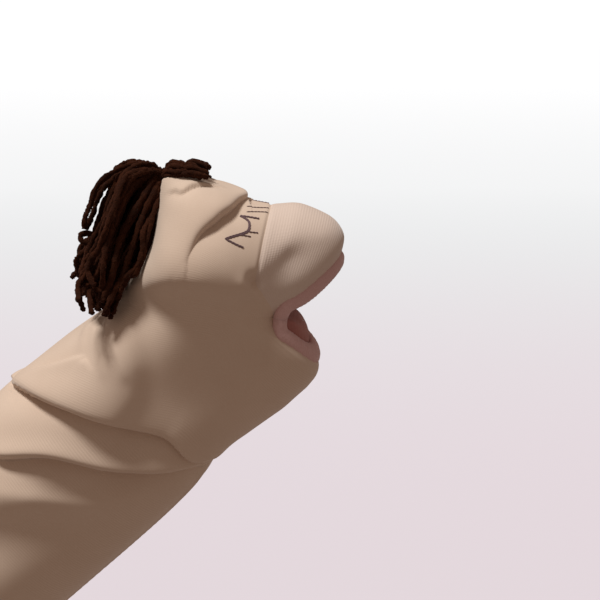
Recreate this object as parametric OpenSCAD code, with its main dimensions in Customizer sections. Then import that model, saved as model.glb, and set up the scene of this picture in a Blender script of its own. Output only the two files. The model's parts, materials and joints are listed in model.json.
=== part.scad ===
// Mouth puppet of a baby's head: a stuffed cloth head with a moving mouth on an arm-length sleeve.
// Everything on the cloth is placed along the arm (t), away from it (n), and around it (v, degrees:
// 0 on top, 90 on the puppet's right, 180 underneath). The row frame has +X forward, +Z up.

/* [Arm and sleeve] */
// Slope of the arm above the horizontal, degrees
arm_slope = 42.5; // [38:0.5:46]
// Radius of the hand opening in the cuff
cuff_bore_r = 55; // [54:0.5:56]
// Depth of the hemmed cuff
cuff_depth = 20; // [16:1:24]
// Thickness of the cuff's folded hem
hem_thickness = 3; // [2:0.5:4]
// Thickness of the cloth with its lining
cloth = 2; // [1.6:0.1:2.2]

/* [Head] */
// How deep the forehead is padded
forehead_padding = 10; // [6:1:12]
// How deep the snout is padded
snout_padding = 6; // [4:1:7]
// How deep the cheeks and the chin are padded
cheek_padding = 5; // [3:1:6]
// Radius of the rolled lips
lip_r = 3.8; // [3:0.1:4]
// Roundness of the cross-sections: 1 is an ellipse, less is fuller
fullness = 0.9; // [0.85:0.01:1]

/* [Mouth] */
// How far apart the jaws stand at rest, degrees
gape = 96.5; // [92:0.5:98]
// Length of the palate from the mouth's hinge
palate_length = 38; // [34:1:39]
// Length of the lower jaw's plate from the mouth's hinge
jaw_length = 27; // [24:1:28]
// Half the width of the mouth plates at the hinge
mouth_half_w = 27; // [24:1:28]
// Thickness of the stiff mouth plates
plate = 1.5; // [1:0.1:2]
// Height of the pocket for the fingers
finger_room = 20; // [16:1:21]
// Depth of the pocket for the thumb
thumb_room = 15; // [12:1:16]

/* [Hair] */
// Half the width of the hair across the back of the head
hair_half_w = 30; // [24:1:34]
// Radius of the knot that holds the hair
knot_r = 4.2; // [3.6:0.1:4.4]

/* [Hidden] */

skin_colour = "#cfb79e";
lip_colour = "#8a6462";
lining_colour = "#6f463f";
hair_colour = "#241208";
stuffing_colour = "#eeeae2";
board_colour = "#b9a88c";
thread_colour = "#5c4145";

// The cloth's shape as a row of stations from the cuff to the lips:
// [t, n of the top line, t, n of the side line, t, n of the bottom line, half width]
STATIONS = [
    [0, 57, 0, 0, 0, -57, 57],
    [65, 57, 65, 0, 65, -58, 55],
    [125, 58, 125, 0, 125, -59, 53],
    [165, 56, 166, 0, 166, -58, 51],
    [190, 53, 190, 0, 190, -55.5, 50],
    [210, 50, 208, 0, 207, -57, 49],
    [228, 52, 222, 1, 222, -58.5, 49.5],
    [246, 63, 232, 2, 232, -59.5, 50],
    [262, 77, 241, 3, 240, -59.5, 50],
    [280, 80, 248, 3, 246, -59.5, 49.5],
    [292, 66, 253, 2, 250, -59.5, 49],
    [298, 50, 257, 0, 254, -59, 48],
    [306, 32, 260, -3, 257, -58.5, 46.5],
    [318, 19, 263, -6, 260, -57.5, 44.5],
    [326, 4, 266, -10, 263, -55.5, 41.5],
    [325, -8, 268, -13, 265, -53, 38],
    [317, -15, 270, -16, 266, -51, 34]];
last = len(STATIONS) - 1;
// Places along the cloth, counted in stations
cuff_end = 0.395;
sleeve_end = 1;
forearm_start = 2;
forearm_end = 3;
head_start = 5.1;
rim = 15.9;
mouth_hinge = [269, 0, -15];
knot_place = [142.5, 0, 247];
seam_gap = 0.3;

// ---- shape functions ----
function lerp(a, b, f) = a + (b - a) * f;
function unit(p) = p / norm(p);
function spline(p, q, r, s, f) =
    0.5 * (2 * q + (r - p) * f + (2 * p - 5 * q + 4 * r - s) * f * f + (3 * q - p - 3 * r + s) * f * f * f);
function station(u) =
    let(i = max(0, min(floor(u), last - 1)))
    spline(STATIONS[max(i - 1, 0)], STATIONS[i], STATIONS[i + 1], STATIONS[min(i + 2, last)], u - i);
function full(x) = sign(x) * pow(abs(x), fullness);
// A point of the cloth's outer face, in the arm's own axes
function skin(u, v) =
    let(r = station(u), mid = [r[2], 0, r[3]], end = cos(v) >= 0 ? [r[0], 0, r[1]] : [r[4], 0, r[5]])
    mid + (end - mid) * full(abs(cos(v))) - [0, r[6] * full(sin(v)), 0];
function along(u, v) = unit(skin(min(u + 0.1, last), v) - skin(max(u - 0.1, 0), v));
function outward(u, v) = unit(cross(skin(u, v + 1.5) - skin(u, v - 1.5), along(u, v)));
function on_cloth(uv, depth) = skin(uv[0], uv[1]) - depth * outward(uv[0], uv[1]);
function walk(path, f) =
    let(n = len(path) - 1, x = min(f * n, n - 0.0001), i = floor(x))
    lerp(path[i], path[i + 1], x - i);
// Outlines that run over the top or under the chin, given for the right side only
function other(p) = [p[0], -p[1]];
function over_top(path) = concat([for (i = [len(path) - 1:-1:1]) other(path[i])], path);
function under_chin(path) = concat(path, [for (i = [len(path) - 2:-1:0]) other(path[i]) + [0, 360]]);

// ---- shape modules ----
module arm() {
    rotate([0, -arm_slope, 0]) children();
}

module left_side() {
    mirror([0, 1, 0]) children();
}

// A closed solid between two depths under the cloth's face, bounded by two outlines of [station, angle]
module panel(low, high, outer = 0, inner = cloth, nu = 8, nv = 12) {
    inset = 0.005;
    function place(i, j, depth) =
        let(s = lerp(inset, 1 - inset, i / nu), f = lerp(inset, 1 - inset, j / nv))
        on_cloth(lerp(walk(low, f), walk(high, f), s), depth);
    columns = nv + 1;
    one_face = (nu + 1) * columns;
    function at(i, j, side) = side * one_face + i * columns + j;
    points = [for (depth = [outer, inner]) for (i = [0:nu]) for (j = [0:nv]) place(i, j, depth)];
    cells = [for (i = [0:nu - 1]) for (j = [0:nv - 1]) [i, j]];
    faces = concat(
        [for (c = cells) [at(c[0], c[1], 0), at(c[0] + 1, c[1], 0), at(c[0] + 1, c[1] + 1, 0)]],
        [for (c = cells) [at(c[0], c[1], 0), at(c[0] + 1, c[1] + 1, 0), at(c[0], c[1] + 1, 0)]],
        [for (c = cells) [at(c[0], c[1], 1), at(c[0] + 1, c[1] + 1, 1), at(c[0] + 1, c[1], 1)]],
        [for (c = cells) [at(c[0], c[1], 1), at(c[0], c[1] + 1, 1), at(c[0] + 1, c[1] + 1, 1)]],
        [for (i = [0:nu - 1]) each [
            [at(i, 0, 0), at(i, 0, 1), at(i + 1, 0, 1)], [at(i, 0, 0), at(i + 1, 0, 1), at(i + 1, 0, 0)],
            [at(i, nv, 0), at(i + 1, nv, 1), at(i, nv, 1)], [at(i, nv, 0), at(i + 1, nv, 0), at(i + 1, nv, 1)]]],
        [for (j = [0:nv - 1]) each [
            [at(0, j, 0), at(0, j + 1, 1), at(0, j, 1)], [at(0, j, 0), at(0, j + 1, 0), at(0, j + 1, 1)],
            [at(nu, j, 0), at(nu, j, 1), at(nu, j + 1, 1)], [at(nu, j, 0), at(nu, j + 1, 1), at(nu, j + 1, 0)]]]);
    arm() polyhedron(points, faces, convexity = 6);
}

// A closed tube along a route, with its half sizes across and along the face at each point
module strand(route, across, flat, facing, sides = 10) {
    n = len(route) - 1;
    function heading(i) = unit(route[min(i + 1, n)] - route[max(i - 1, 0)]);
    function ring(i) =
        let(a = unit(cross(heading(i), facing)), b = cross(heading(i), a))
        [for (k = [0:sides - 1]) route[i] + across[i] * cos(360 * k / sides) * a
            + flat[i] * sin(360 * k / sides) * b];
    points = [for (i = [0:n]) each ring(i)];
    walls = [for (i = [0:n - 1]) for (k = [0:sides - 1])
        let(m = (k + 1) % sides) each [
            [i * sides + k, (i + 1) * sides + k, (i + 1) * sides + m],
            [i * sides + k, (i + 1) * sides + m, i * sides + m]]];
    start_cap = [[for (k = [0:sides - 1]) k]];
    end_cap = [[for (k = [sides - 1:-1:0]) n * sides + k]];
    polyhedron(points, concat(walls, start_cap, end_cap), convexity = 6);
}

function half_oval(length, half_w) = [for (a = [-90:7.5:90]) [length * cos(a), half_w * sin(a)]];
function arch(half_w, height) = [for (a = [0:10:180]) [half_w * cos(a), height * pow(sin(a), 0.6)]];

// Children stand on the upper jaw's line, or on the lower jaw's line, with +Z towards the palate
module upper_jaw() {
    arm() translate(mouth_hinge) children();
}

module lower_jaw() {
    arm() translate(mouth_hinge) rotate([0, gape, 0]) mirror([0, 0, 1]) children();
}

// A flat D-shaped piece of the mouth, from its distance behind the mouth's face
module mouth_leaf(start, length, half_w, depth, thickness) {
    translate([start, 0, depth]) linear_extrude(thickness) polygon(half_oval(length, half_w));
}

// A pocket behind a mouth plate, open towards the wrist
module pocket(length, half_w, height, wall) {
    rotate([90, 0, 90]) difference() {
        linear_extrude(length) polygon(arch(half_w, height));
        translate([0, wall, -wall]) linear_extrude(length) polygon(arch(half_w - wall, height - 2 * wall));
    }
}

// ---- sleeve ----
module cuff_hem() {
    color(skin_colour) arm() difference() {
        cylinder_along(cuff_bore_r + hem_thickness, 0, cuff_depth);
        cylinder_along(cuff_bore_r, -1, cuff_depth + 2);
    }
}

module cylinder_along(r, start, length) {
    translate([start, 0, 0]) rotate([0, 90, 0]) cylinder(h = length, r = r, $fn = 96);
}

module sleeve_half(start, end, rows) {
    panel([[start, 0], [start, 180]], [[end, 0], [end, 180]], nu = rows, nv = 18);
}

module sleeve_right_panel() {
    color(skin_colour) sleeve_half(cuff_end, sleeve_end, 3);
}

module sleeve_left_panel() {
    color(skin_colour) left_side() sleeve_half(cuff_end, sleeve_end, 3);
}

module sleeve_middle() {
    color(skin_colour) panel([[sleeve_end, 0], [sleeve_end, 360]], [[forearm_start, 0], [forearm_start, 360]],
        nu = 3, nv = 36);
}

module forearm_right_panel() {
    color(skin_colour) sleeve_half(forearm_start, forearm_end, 3);
}

module forearm_left_panel() {
    color(skin_colour) left_side() sleeve_half(forearm_start, forearm_end, 3);
}

module neck_gusset() {
    color(skin_colour) panel([[forearm_end, 0], [forearm_end, 360]], [[head_start, 0], [head_start, 360]],
        nu = 6, nv = 36);
}

// ---- head ----
// Outlines on the right half, from the middle of the head to its side
head_back_edge = [[head_start, 0], [head_start, 30], [head_start, 60]];
forehead_back = [[8.9, 0], [8.7, 30], [8.5, 60]];
brow_crease = [[11.3, 0], [10.8, 30], [8.75, 60]];
snout_seam = [[12, 0], [11.95, 30], [11.9, 68]];
mouth_rim_top = [[rim, 0], [rim, 40], [rim, 80]];
// Outlines of the chin, from the side of the mouth to the middle
chin_edge = [[14.2, 101], [12.7, 140], [11, 180]];
mouth_rim_bottom = [[15.6, 98], [15.5, 140], [15.4, 180]];

module head_back_panel() {
    color(skin_colour) panel(over_top(head_back_edge), over_top(forehead_back), nu = 9, nv = 20);
}

module forehead_panel() {
    color(skin_colour) panel(over_top(forehead_back), over_top(brow_crease), nu = 8, nv = 20);
}

module eye_panel() {
    color(skin_colour) panel(over_top(brow_crease), over_top(snout_seam), nu = 6, nv = 20);
}

module snout_panel() {
    color(skin_colour) panel(over_top(snout_seam), over_top(mouth_rim_top), nu = 9, nv = 20);
}

module cheek() {
    panel([[head_start, 60], [head_start, 88]], [[8.6, 60], [8.6, 88]], nu = 5, nv = 4);
    panel([[8.6, 60], [8.6, 88]], [[11.9, 68], [15.6, 88]], nu = 7, nv = 5);
    panel([[head_start, 88], [head_start, 179.6]], [[6.6, 88], [6.6, 179.6]], nu = 3, nv = 10);
}

module cheek_right_panel() {
    color(skin_colour) cheek();
}

module cheek_left_panel() {
    color(skin_colour) left_side() cheek();
}

module throat_panel() {
    color(skin_colour) panel(under_chin([[6.65, 90], [6.65, 110], [6.65, 140], [6.65, 180]]),
        under_chin([[15.6, 91], [14.1, 100], [12.6, 140], [10.9, 180]]), nu = 8, nv = 24);
}

module chin_panel() {
    color(skin_colour) panel(under_chin(chin_edge), under_chin(mouth_rim_bottom), nu = 5, nv = 20);
}

// ---- lips, eyes ----
lip_facing = [0.67, 0, -0.74];
// Angles round the mouth where the upper lip ends and the lower lip starts
lip_turn = 68;
lip_dip = 118;

module lip(from_v, to_v, steps) {
    route = [for (i = [0:steps]) let(v = lerp(from_v, to_v, i / steps))
        skin(last, v) + (lip_r + 0.1) * along(last, v)];
    size = [for (i = [0:steps]) lip_r];
    arm() strand(route, size, size, lip_facing);
}

module upper_lip() {
    color(lip_colour) lip(-lip_turn, lip_turn, 20);
}

module lower_lip() {
    color(lip_colour) lip(lip_dip, 360 - lip_dip, 20);
}

module lip_corners() {
    color(lip_colour) {
        lip(lip_turn + 1, lip_dip - 1, 6);
        left_side() lip(lip_turn + 1, lip_dip - 1, 6);
    }
}

// Closed eye as sewn: the lid's line, then one lash per pair of points
eye_lid = [[10.25, 54], [10.7, 50], [11.08, 46], [11.3, 42.5], [11.38, 38.5], [11.35, 33], [11.1, 30]];
eye_lashes = [[[10.3, 54], [11.12, 54.5]], [[11.02, 47], [11.3, 45.5]], [[11.27, 43], [11.5, 41]],
    [[11.1, 30], [11.68, 27]]];
thread_r = 0.8;

module sewn_line(places) {
    n = len(places) - 1;
    size = [for (i = [0:n]) thread_r];
    arm() strand([for (p = places) on_cloth(p, -thread_r - seam_gap)], size, size, [0.3, 0.2, 0.93], 6);
}

module closed_eye() {
    sewn_line(eye_lid);
    for (lash = eye_lashes) {
        sewn_line(lash);
    }
}

module right_eye() {
    color(thread_colour) closed_eye();
}

module left_eye() {
    color(thread_colour) left_side() closed_eye();
}

// ---- mouth, inside ----
leaf_start = 3;
lining_depth = 0.6;
lining_thickness = 1;
plate_depth = lining_depth + lining_thickness + seam_gap;
pocket_depth = plate_depth + plate + seam_gap;
pocket_wall = 1.2;

module palate_plate() {
    color(board_colour) upper_jaw() mouth_leaf(leaf_start, palate_length - 3, mouth_half_w - 2, plate_depth, plate);
}

module jaw_plate() {
    color(board_colour) lower_jaw() mouth_leaf(leaf_start, jaw_length - 3, mouth_half_w - 2, plate_depth, plate);
}

module palate_lining() {
    color(lining_colour) upper_jaw()
        mouth_leaf(leaf_start, palate_length, mouth_half_w, lining_depth, lining_thickness);
}

module jaw_lining() {
    color(lining_colour) lower_jaw()
        mouth_leaf(leaf_start, jaw_length, mouth_half_w, lining_depth, lining_thickness);
}

module mouth_fold() {
    fold_r = 2.5;
    color(lining_colour) arm() translate(mouth_hinge) rotate([90, 0, 0]) difference() {
        cylinder(h = 2 * mouth_half_w, r = fold_r, center = true, $fn = 32);
        cylinder(h = 2 * mouth_half_w + 2, r = fold_r - lining_thickness, center = true, $fn = 32);
        translate([fold_r * 0.9, -fold_r, 0]) cube([2 * fold_r, 4 * fold_r, 2 * mouth_half_w + 2], center = true);
    }
}

module finger_pocket() {
    color(skin_colour) upper_jaw() translate([-4, 0, pocket_depth])
        pocket(palate_length - 3, mouth_half_w - 3, finger_room, pocket_wall);
}

module thumb_pocket() {
    color(skin_colour) lower_jaw() translate([7, 0, pocket_depth])
        pocket(jaw_length - 8, mouth_half_w - 12, thumb_room, pocket_wall);
}

// ---- padding ----
pad_start = cloth + seam_gap;

module forehead_stuffing() {
    color(stuffing_colour) panel(over_top([[9, 0], [8.8, 28], [8.75, 50]]),
        over_top([[11.1, 0], [10.6, 28], [9.4, 50]]), pad_start, pad_start + forehead_padding, nu = 6, nv = 14);
}

module snout_stuffing() {
    color(stuffing_colour) panel(over_top([[12.2, 0], [12.2, 30], [12.2, 62]]),
        over_top([[15.2, 0], [15.2, 30], [15.2, 66]]), pad_start, pad_start + snout_padding, nu = 6, nv = 16);
}

module cheek_stuffing() {
    panel([[8.9, 63], [8.9, 86]], [[11.6, 70], [14.2, 84]], pad_start, pad_start + cheek_padding, nu = 6, nv = 4);
}

module cheek_right_stuffing() {
    color(stuffing_colour) cheek_stuffing();
}

module cheek_left_stuffing() {
    color(stuffing_colour) left_side() cheek_stuffing();
}

module chin_stuffing() {
    color(stuffing_colour) panel(under_chin([[14, 125], [13, 150], [11.4, 180]]),
        under_chin([[15.3, 122], [15.3, 150], [15.2, 180]]), pad_start, pad_start + cheek_padding - 2, nu = 4, nv = 14);
}

// ---- hair: a knot at the crown, a hank down the back and a short fringe ----
module hair_knot() {
    color(hair_colour) translate(knot_place) sphere(r = knot_r, $fn = 48);
}

hank_route = [[135, 0, 250], [127, 0, 248], [116, 0, 237], [110, 0, 220], [106, 0, 204], [102, 0, 190]];
hank_thickness = [4.5, 7.5, 13, 18, 17, 12];
hank_spread = [0.2, 0.4, 0.8, 1, 1, 0.75];
fringe_route = [[149.5, 0, 252.5], [155, 0, 254.4], [163, 0, 253.4], [169, 0, 250.2]];
fringe_thickness = [3.6, 4.2, 3.8, 2.4];
fringe_spread = [8, 13, 15, 10];

module hair_back() {
    color(hair_colour) strand(hank_route, [for (w = hank_spread) w * hair_half_w], hank_thickness,
        [1, 0, -0.5], 16);
}

module hair_fringe() {
    color(hair_colour) strand(fringe_route, fringe_spread, fringe_thickness, [0, 0, 1], 12);
}

cuff_hem();
sleeve_right_panel();
sleeve_left_panel();
sleeve_middle();
forearm_right_panel();
forearm_left_panel();
neck_gusset();
head_back_panel();
forehead_panel();
eye_panel();
cheek_right_panel();
cheek_left_panel();
snout_panel();
throat_panel();
chin_panel();
upper_lip();
lower_lip();
lip_corners();
palate_plate();
jaw_plate();
palate_lining();
jaw_lining();
mouth_fold();
finger_pocket();
thumb_pocket();
forehead_stuffing();
snout_stuffing();
cheek_right_stuffing();
cheek_left_stuffing();
chin_stuffing();
right_eye();
left_eye();
hair_knot();
hair_back();
hair_fringe();
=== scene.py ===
import json
import math

import bpy
import numpy as np
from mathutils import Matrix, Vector


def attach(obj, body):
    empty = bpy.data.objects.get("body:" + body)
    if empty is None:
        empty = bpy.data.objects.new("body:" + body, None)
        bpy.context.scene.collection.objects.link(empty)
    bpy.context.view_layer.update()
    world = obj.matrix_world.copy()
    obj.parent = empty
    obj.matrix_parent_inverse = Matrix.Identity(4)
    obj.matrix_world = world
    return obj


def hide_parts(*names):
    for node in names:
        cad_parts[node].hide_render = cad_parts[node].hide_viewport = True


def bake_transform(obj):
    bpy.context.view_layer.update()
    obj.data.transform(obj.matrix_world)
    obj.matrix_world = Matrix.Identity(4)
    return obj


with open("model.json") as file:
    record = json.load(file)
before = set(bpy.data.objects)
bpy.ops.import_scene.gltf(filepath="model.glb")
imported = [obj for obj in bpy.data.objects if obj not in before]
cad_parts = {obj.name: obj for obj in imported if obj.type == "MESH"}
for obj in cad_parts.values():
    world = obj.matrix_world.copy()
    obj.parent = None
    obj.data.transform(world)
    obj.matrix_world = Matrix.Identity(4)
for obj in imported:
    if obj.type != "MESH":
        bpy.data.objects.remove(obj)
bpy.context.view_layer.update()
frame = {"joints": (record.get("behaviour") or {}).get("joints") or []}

# Mouth puppet of a baby's head: knit cloth over padding, on an arm-length sleeve, with yarn hair.
# Shapes are worked out in millimetres in the arm's own axes: t along the arm, y across, n away from it.
MM = 0.001
JOINTS = {joint["name"]: joint for joint in frame["joints"]}
TURN_AXIS = JOINTS["head_turn"]["axis"]
SLOPE = math.atan2(TURN_AXIS[2], TURN_AXIS[0])
HINGE = np.array(JOINTS["jaw_close"]["pos_m"]) / MM
KNOT = np.array(JOINTS["hair_back_swing"]["pos_m"]) / MM


def to_row(points):
    """Points in the arm's axes, in mm, as points in the row frame, in metres."""
    t, y, n = points[..., 0], points[..., 1], points[..., 2]
    cos, sin = math.cos(SLOPE), math.sin(SLOPE)
    return np.stack([t * cos - n * sin, y, t * sin + n * cos], -1) * MM


def to_arm(points):
    """Points in the row frame, in mm, as points in the arm's axes."""
    x, y, z = points[..., 0], points[..., 1], points[..., 2]
    cos, sin = math.cos(SLOPE), math.sin(SLOPE)
    return np.stack([x * cos + z * sin, y, z * cos - x * sin], -1)


HINGE_ARM = to_arm(HINGE)


# ---------------------------------------------------------------- camera, light and floor
VIEW_CENTRE = (0.220, 0.0, 0.1753)
VIEW_DISTANCE = 1.0
VIEW_ELEVATION = math.radians(12)
VIEW_WIDTH = 0.3429


def add_camera():
    data = bpy.data.cameras.new("camera")
    data.sensor_width = 36
    data.lens = data.sensor_width * VIEW_DISTANCE / VIEW_WIDTH
    data.clip_end = 50
    camera = bpy.data.objects.new("camera", data)
    bpy.context.scene.collection.objects.link(camera)
    camera.location = (VIEW_CENTRE[0], VIEW_CENTRE[1] - VIEW_DISTANCE * math.cos(VIEW_ELEVATION),
                       VIEW_CENTRE[2] + VIEW_DISTANCE * math.sin(VIEW_ELEVATION))
    camera.rotation_euler = (math.pi / 2 - VIEW_ELEVATION, 0, 0)
    bpy.context.scene.camera = camera


def to_track(direction):
    return Vector(direction).to_track_quat("Z", "Y").to_euler()


# ---------------------------------------------------------------- materials
SHEEN_SPREAD = 0.5
MATH = "ShaderNodeMath"
NOISE = "ShaderNodeTexNoise"
# Sockets of a colour mix, by number
MIX_SHARE = 0
MIX_DEEP = 6
MIX_PALE = 7
MIX_OUT = 2


def linear(hex_colour):
    """A linear RGBA colour from an sRGB hex value."""
    parts = [int(hex_colour[i:i + 2], 16) / 255 for i in (1, 3, 5)]
    return [c / 12.92 if c <= 0.04045 else ((c + 0.055) / 1.055) ** 2.4 for c in parts] + [1.0]


def node(tree, kind, settings=None, links=None):
    """Adds a shader node: settings go to sockets, by name or number, or to attributes; links join sockets."""
    made = tree.nodes.new(kind)
    for key, value in (settings or {}).items():
        if isinstance(key, int) or key in made.inputs:
            made.inputs[key].default_value = value
        else:
            setattr(made, key, value)
    for key, source in (links or {}).items():
        tree.links.new(source, made.inputs[key])
    return made


def new_material(name, roughness, sheen=0.0, specular=0.3):
    material = bpy.data.materials.new(name)
    material.use_nodes = True
    tree = material.node_tree
    shader = tree.nodes["Principled BSDF"]
    shader.inputs["Roughness"].default_value = roughness
    shader.inputs["Sheen Weight"].default_value = sheen
    shader.inputs["Sheen Roughness"].default_value = SHEEN_SPREAD
    shader.inputs["Specular IOR Level"].default_value = specular
    return material, tree, shader


def two_tone(tree, shader, share, deep, pale, height, strength, depth_mm):
    """Colours a surface between two tones, and raises its relief."""
    mix = node(tree, "ShaderNodeMix", {"data_type": "RGBA", MIX_DEEP: linear(deep), MIX_PALE: linear(pale)},
               {MIX_SHARE: share})
    relief = node(tree, "ShaderNodeBump", {"Strength": strength, "Distance": depth_mm * MM},
                  {"Height": height})
    tree.links.new(mix.outputs[MIX_OUT], shader.inputs["Base Color"])
    tree.links.new(relief.outputs["Normal"], shader.inputs["Normal"])


FUZZ_MM = 0.9
PATCH_MM = 28
COURSE_HEIGHT = 0.5
WALE_HEIGHT = 0.35
FUZZ_HEIGHT = 1.2
FUZZ_SHADE = 0.45
STITCH_SHADE = 0.05
PATCH_SHADE = 0.5
STITCH_DEPTH_MM = 0.25


def knit_material(name, pale, deep, course_mm=1.4, wale_mm=1.1, bump=0.35):
    """Cotton jersey: rows of stitches, a fine fuzz and faint patches, all matt."""
    material, tree, shader = new_material(name, 0.9, sheen=0.25, specular=0.15)
    place = node(tree, "ShaderNodeUVMap", {"uv_map": "cloth"})
    apart = node(tree, "ShaderNodeSeparateXYZ", links={"Vector": place.outputs["UV"]})
    waves = []
    for axis, spacing_mm, height in (("Y", course_mm, COURSE_HEIGHT), ("X", wale_mm, WALE_HEIGHT)):
        phase = node(tree, MATH, {"operation": "MULTIPLY", 1: 2 * math.pi / (spacing_mm * MM)},
                     {0: apart.outputs[axis]})
        wave = node(tree, MATH, {"operation": "SINE"}, {0: phase.outputs[0]})
        waves.append(node(tree, MATH, {"operation": "MULTIPLY", 1: height}, {0: wave.outputs[0]}))
    stitches = node(tree, MATH, {"operation": "ADD"}, {0: waves[0].outputs[0], 1: waves[1].outputs[0]})
    where = node(tree, "ShaderNodeTexCoord")
    fuzz = node(tree, NOISE, {"Scale": 1 / (FUZZ_MM * MM), "Detail": 3.0},
                {"Vector": where.outputs["Object"]})
    patches = node(tree, NOISE, {"Scale": 1 / (PATCH_MM * MM), "Detail": 2.0},
                   {"Vector": where.outputs["Object"]})
    raised = node(tree, MATH, {"operation": "MULTIPLY", 1: FUZZ_HEIGHT}, {0: fuzz.outputs["Fac"]})
    height = node(tree, MATH, {"operation": "ADD"}, {0: stitches.outputs[0], 1: raised.outputs[0]})
    fuzz_part = node(tree, MATH, {"operation": "MULTIPLY", 1: FUZZ_SHADE}, {0: fuzz.outputs["Fac"]})
    stitch_part = node(tree, MATH, {"operation": "MULTIPLY", 1: STITCH_SHADE}, {0: stitches.outputs[0]})
    grain = node(tree, MATH, {"operation": "ADD"}, {0: fuzz_part.outputs[0], 1: stitch_part.outputs[0]})
    patch_part = node(tree, MATH, {"operation": "MULTIPLY", 1: PATCH_SHADE}, {0: patches.outputs["Fac"]})
    shade = node(tree, MATH, {"operation": "ADD"}, {0: patch_part.outputs[0], 1: grain.outputs[0]})
    two_tone(tree, shader, shade.outputs[0], deep, pale, height.outputs[0], bump, STITCH_DEPTH_MM)
    return material


PILE_MM = 0.8
PILE_DEPTH_MM = 1.0
TONE_MM = 9
TONE_LIFT = 2.0


def yarn_material(name, painted_hollow_shade, painted_tip_light):
    """Chenille yarn with short velvet pile. Its colour follows the pile's height, the same noise as its
    relief: painted shade, near-black, in the pile's hollows and the yarn's brown, brightened as painted
    light, on its tips, varied by slow random patches of tone.
    """
    material, tree, shader = new_material(name, 0.95, sheen=0.35, specular=0.1)
    shader.inputs["Sheen Tint"].default_value = linear("#6b3a26")
    where = node(tree, "ShaderNodeTexCoord")
    pile = node(tree, NOISE, {"Scale": 1 / (PILE_MM * MM), "Detail": 4.0},
                {"Vector": where.outputs["Object"]})
    tones = node(tree, NOISE, {"Scale": 1 / (TONE_MM * MM), "Detail": 2.0},
                 {"Vector": where.outputs["Object"]})
    lifted = node(tree, MATH, {"operation": "MULTIPLY", 1: TONE_LIFT}, {0: tones.outputs["Fac"]})
    # Painted shade and light: darker where the pile is low, browner where it stands high, mixed with random
    # tone patches
    share = node(tree, MATH, {"operation": "MULTIPLY"}, {0: pile.outputs["Fac"], 1: lifted.outputs[0]})
    two_tone(tree, shader, share.outputs[0], painted_hollow_shade, painted_tip_light, pile.outputs["Fac"], 1.0, PILE_DEPTH_MM)
    return material


GRAIN_DEPTH_MM = 0.3


def plain_material(name, pale, deep, grain_mm, bump):
    """Board, thread and fibre: two close tones mixed by a fine grain."""
    material, tree, shader = new_material(name, 0.85, sheen=0.1, specular=0.2)
    where = node(tree, "ShaderNodeTexCoord")
    grain = node(tree, NOISE, {"Scale": 1 / (grain_mm * MM), "Detail": 4.0},
                 {"Vector": where.outputs["Object"]})
    two_tone(tree, shader, grain.outputs["Fac"], deep, pale, grain.outputs["Fac"], bump, GRAIN_DEPTH_MM)
    return material


# Cotton jersey: soft knitting that takes light without a highlight. Its courses and wales are drawn a little
# coarser than knitted, so that they show.
KNIT = knit_material("peach_cotton_jersey", "#d8c4b2", "#c9b29f", bump=0.14)
# Ribbed jersey: the same yarn, with ribs deep enough to catch the light.
SNOUT_KNIT = knit_material("peach_ribbed_jersey", "#d9c8bc", "#cab6a8", course_mm=1.5, wale_mm=1.0, bump=0.3)
# Thin jersey, rolled for the lips: a dull pink without gloss.
LIP_CLOTH = knit_material("mauve_jersey", "#d6b3b0", "#c79f9c", course_mm=1.2)
# The mouth's lining: a deeper mauve that is seen only in shade.
MOUTH_CLOTH = knit_material("dark_mauve_lining", "#b57d76", "#9c655f", course_mm=1.2)
# Pocket cotton: close and even, paler than the face.
POCKET_CLOTH = knit_material("cream_pocket_cotton", "#d9cdb8", "#cbbda5", course_mm=1.0)
# Chenille: dark brown yarn, with painted shade, almost black, in the pile's hollows and painted light, brown,
# on its tips.
HAIR_YARN = yarn_material("brown_chenille_yarn", "#060302", "#42200f")
# Embroidery thread: plum, with fine strands.
EYE_THREAD = plain_material("plum_stranded_cotton", "#7b6468", "#5d484d", 0.4, 0.6)
# Sewing thread: a tone darker than the cloth, so that the stitches read as dots.
HEM_THREAD = plain_material("peach_sewing_thread", "#c9ae97", "#b0937c", 0.4, 0.5)
# Grey board: flat, dull and faintly speckled.
BOARD = plain_material("grey_board", "#b5a78e", "#9d8f77", 0.8, 0.3)
# Polyester fibre: white and loose, with a coarse, soft relief.
FIBRE = plain_material("polyester_fibre_fill", "#efece6", "#d8d3ca", 1.5, 0.9)


# ---------------------------------------------------------------- the cloth's shape
# Stations from the cuff to the lips, the same as the design's:
# t, n of the top line, t, n of the side line, t, n of the bottom line, half width
STATIONS = np.array([
    [0, 57, 0, 0, 0, -57, 57],
    [65, 57, 65, 0, 65, -58, 55],
    [125, 58, 125, 0, 125, -59, 53],
    [165, 56, 166, 0, 166, -58, 51],
    [190, 53, 190, 0, 190, -55.5, 50],
    [210, 50, 208, 0, 207, -57, 49],
    [228, 52, 222, 1, 222, -58.5, 49.5],
    [246, 63, 232, 2, 232, -59.5, 50],
    [262, 77, 241, 3, 240, -59.5, 50],
    [280, 80, 248, 3, 246, -59.5, 49.5],
    [292, 66, 253, 2, 250, -59.5, 49],
    [298, 50, 257, 0, 254, -59, 48],
    [306, 32, 260, -3, 257, -58.5, 46.5],
    [318, 19, 263, -6, 260, -57.5, 44.5],
    [326, 4, 266, -10, 263, -55.5, 41.5],
    [325, -8, 268, -13, 265, -53, 38],
    [317, -15, 270, -16, 266, -51, 34]], float)
RIM = len(STATIONS) - 1
FULLNESS = 0.9
JOWL = 6.6


def smooth_rows(rows, x):
    """Rows of numbers joined by one smooth curve, at the places x, counted in rows."""
    top = len(rows) - 1
    x = np.clip(x, 0, top)
    i = np.minimum(x.astype(int), top - 1)
    f = (x - i)[..., None]
    p, q, r, s = (rows[np.clip(i + k, 0, top)] for k in (-1, 0, 1, 2))
    return 0.5 * (2 * q + (r - p) * f + (2 * p - 5 * q + 4 * r - s) * f ** 2
                  + (3 * q - p - 3 * r + s) * f ** 3)


CORNER_EASE = 0.02


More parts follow.
